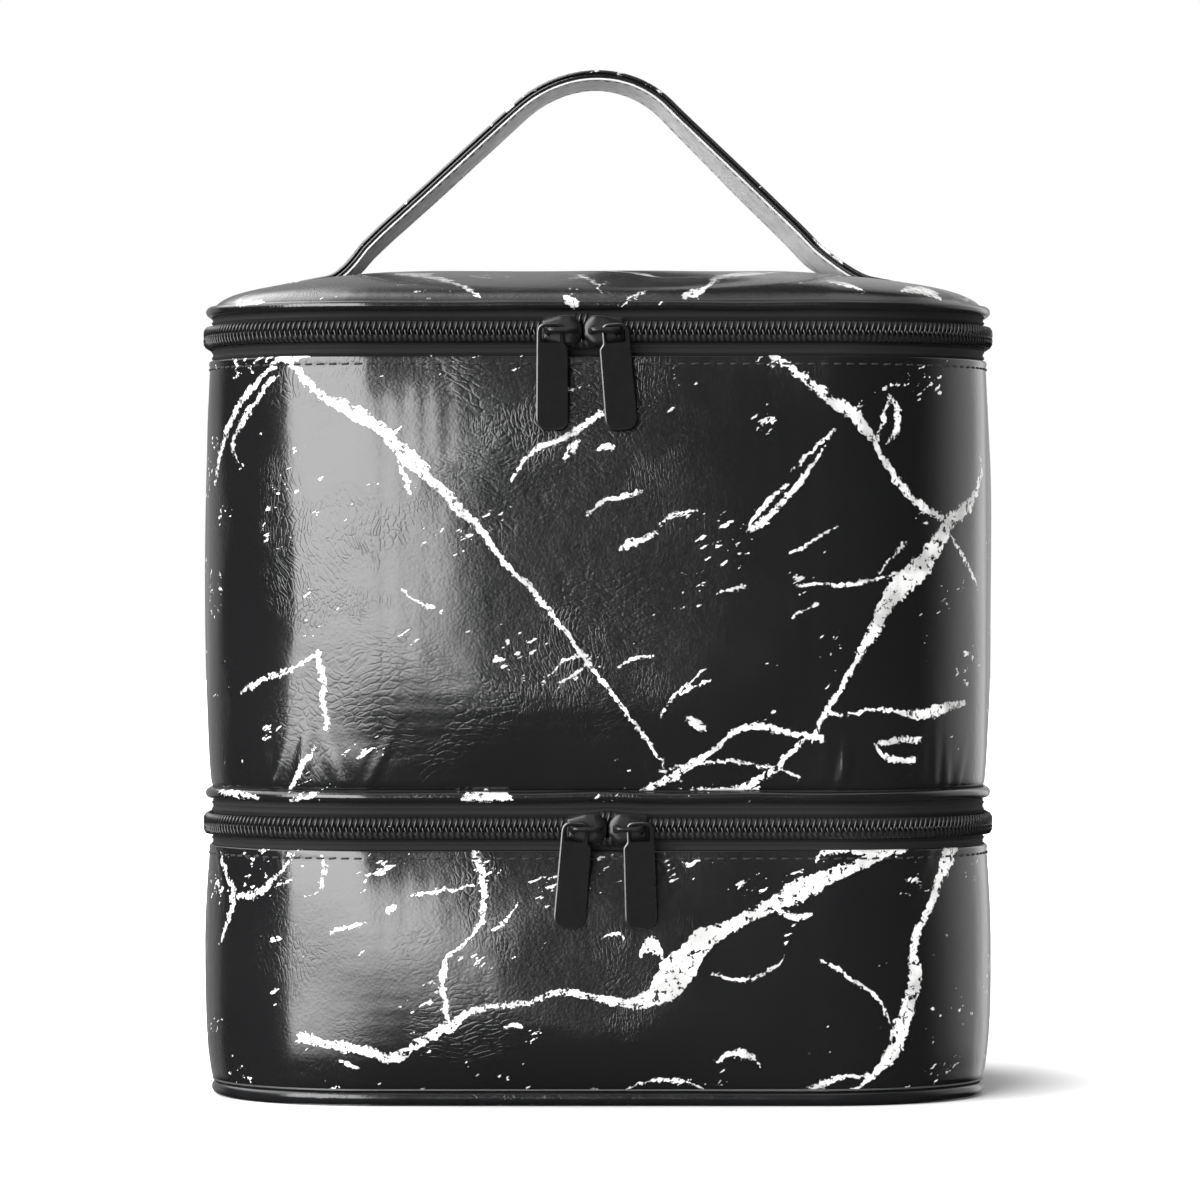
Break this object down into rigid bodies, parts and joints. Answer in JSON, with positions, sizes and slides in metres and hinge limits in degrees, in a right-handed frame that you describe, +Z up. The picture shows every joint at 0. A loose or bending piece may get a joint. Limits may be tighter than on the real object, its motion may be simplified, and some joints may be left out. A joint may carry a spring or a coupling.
{
  "type": "makeup train case",
  "caption": "Zipped makeup train case in black marbled artificial leather: two stacked padded compartments, a domed lid and an arched strap handle",
  "frame": {"origin": "on the floor under the middle of the case, on the flat base panel", "axes": "+Z up, -Y is the front with the zip sliders, +Y is the hinge side, X is along the handle"},
  "size_m": [0.2348, 0.1841, 0.3076],
  "materials": {
    "marble_leather": "black gloss coated artificial leather with white marble veins",
    "trim_leather": "black gloss artificial leather, plain",
    "strap_lining": "black semi-matt artificial leather",
    "stiff_board": "grey millboard",
    "stiff_sheet": "thin stiffening sheet",
    "foam": "soft padding foam",
    "lining_cloth": "black woven lining cloth",
    "hook_strip": "black hook strip",
    "zip_tape": "black woven zip tape",
    "zip_coil": "black nylon coil",
    "black_metal": "black satin enamel on die-cast zinc",
    "pull_metal": "black matt enamel, edges polished bright"
  },
  "bodies": {
    "lower_case": {"lower_base_panel": "trim_leather", "lower_base_piping": "trim_leather", "lower_base_board": "stiff_board", "lower_floor_foam": "foam", "lower_floor_lining": "lining_cloth", "lower_side_panel": "marble_leather", "lower_stiffener": "stiff_sheet", "lower_foam_wall": "foam", "lower_wall_lining": "lining_cloth", "lower_rim_binding": "lining_cloth", "lower_zip_tape_below": "zip_tape", "lower_zip_coil_below": "zip_coil", "case_hinge_strip": "trim_leather"},
    "upper_case": {"lower_zip_tape_above": "zip_tape", "lower_zip_coil_above": "zip_coil", "upper_base_piping": "marble_leather", "upper_base_panel": "lining_cloth", "upper_base_board": "stiff_board", "upper_floor_foam": "foam", "upper_floor_lining": "lining_cloth", "upper_side_panel": "marble_leather", "upper_stiffener": "stiff_sheet", "upper_foam_wall": "foam", "upper_wall_lining": "lining_cloth", "upper_rim_binding": "lining_cloth", "upper_zip_tape_below": "zip_tape", "upper_zip_coil_below": "zip_coil", "divider_long": "lining_cloth", "divider_front_left": "lining_cloth", "divider_front_right": "lining_cloth", "divider_back": "lining_cloth", "divider_hook_strips": "hook_strip", "lid_hinge_strip": "trim_leather"},
    "lid": {"upper_zip_tape_above": "zip_tape", "upper_zip_coil_above": "zip_coil", "lid_piping": "marble_leather", "lid_rim_binding": "lining_cloth", "lid_lining": "lining_cloth", "lid_top_panel": "marble_leather", "lid_foam": "foam", "handle_tab_left": "marble_leather", "handle_tab_right": "marble_leather", "handle_flex_left": "marble_leather", "handle_flex_right": "marble_leather"},
    "handle": {"handle_strap_top": "marble_leather", "handle_strap_core": "stiff_board", "handle_strap_lining": "strap_lining"},
    "slider_upper_left": {"slider_upper_left": "black_metal"},
    "pull_upper_left": {"pull_upper_left": "pull_metal"},
    "slider_upper_right": {"slider_upper_right": "black_metal"},
    "pull_upper_right": {"pull_upper_right": "pull_metal"},
    "slider_lower_left": {"slider_lower_left": "black_metal"},
    "pull_lower_left": {"pull_lower_left": "pull_metal"},
    "slider_lower_right": {"slider_lower_right": "black_metal"},
    "pull_lower_right": {"pull_lower_right": "pull_metal"}
  },
  "joints": [
    {"name": "case_hinge", "type": "hinge", "parent": "lower_case", "child": "upper_case", "pos_m": [0, 0.08645, 0.0807], "axis": [-1, 0, 0], "range_deg": [0, 80], "deforming": ["case_hinge_strip"]},
    {"name": "lid_hinge", "type": "hinge", "parent": "upper_case", "child": "lid", "pos_m": [0, 0.08645, 0.225], "axis": [-1, 0, 0], "range_deg": [0, 100], "deforming": ["lid_hinge_strip"]},
    {"name": "handle_tilt", "type": "hinge", "parent": "lid", "child": "handle", "pos_m": [0, 0, 0.2465], "axis": [1, 0, 0], "range_deg": [-25, 25], "stiffness_Nm_per_rad": 0.06, "deforming": ["handle_flex_left", "handle_flex_right"]},
    {"name": "slide_upper_left", "type": "slide", "parent": "upper_case", "child": "slider_upper_left", "axis": [-1, 0, 0], "range_m": [0, 0.048]},
    {"name": "swing_upper_left", "type": "hinge", "parent": "slider_upper_left", "child": "pull_upper_left", "pos_m": [-0.0144, -0.0928, 0.225], "axis": [0, 1, 0], "range_deg": [-8, 90]},
    {"name": "slide_upper_right", "type": "slide", "parent": "upper_case", "child": "slider_upper_right", "axis": [1, 0, 0], "range_m": [0, 0.048]},
    {"name": "swing_upper_right", "type": "hinge", "parent": "slider_upper_right", "child": "pull_upper_right", "pos_m": [0.0056, -0.0928, 0.225], "axis": [0, -1, 0], "range_deg": [-8, 90]},
    {"name": "slide_lower_left", "type": "slide", "parent": "lower_case", "child": "slider_lower_left", "axis": [-1, 0, 0], "range_m": [0, 0.048]},
    {"name": "swing_lower_left", "type": "hinge", "parent": "slider_lower_left", "child": "pull_lower_left", "pos_m": [-0.0072, -0.0928, 0.0807], "axis": [0, 1, 0], "range_deg": [-8, 90]},
    {"name": "slide_lower_right", "type": "slide", "parent": "lower_case", "child": "slider_lower_right", "axis": [1, 0, 0], "range_m": [0, 0.048]},
    {"name": "swing_lower_right", "type": "hinge", "parent": "slider_lower_right", "child": "pull_lower_right", "pos_m": [0.0128, -0.0928, 0.0807], "axis": [0, -1, 0], "range_deg": [-8, 90]}
  ]
}
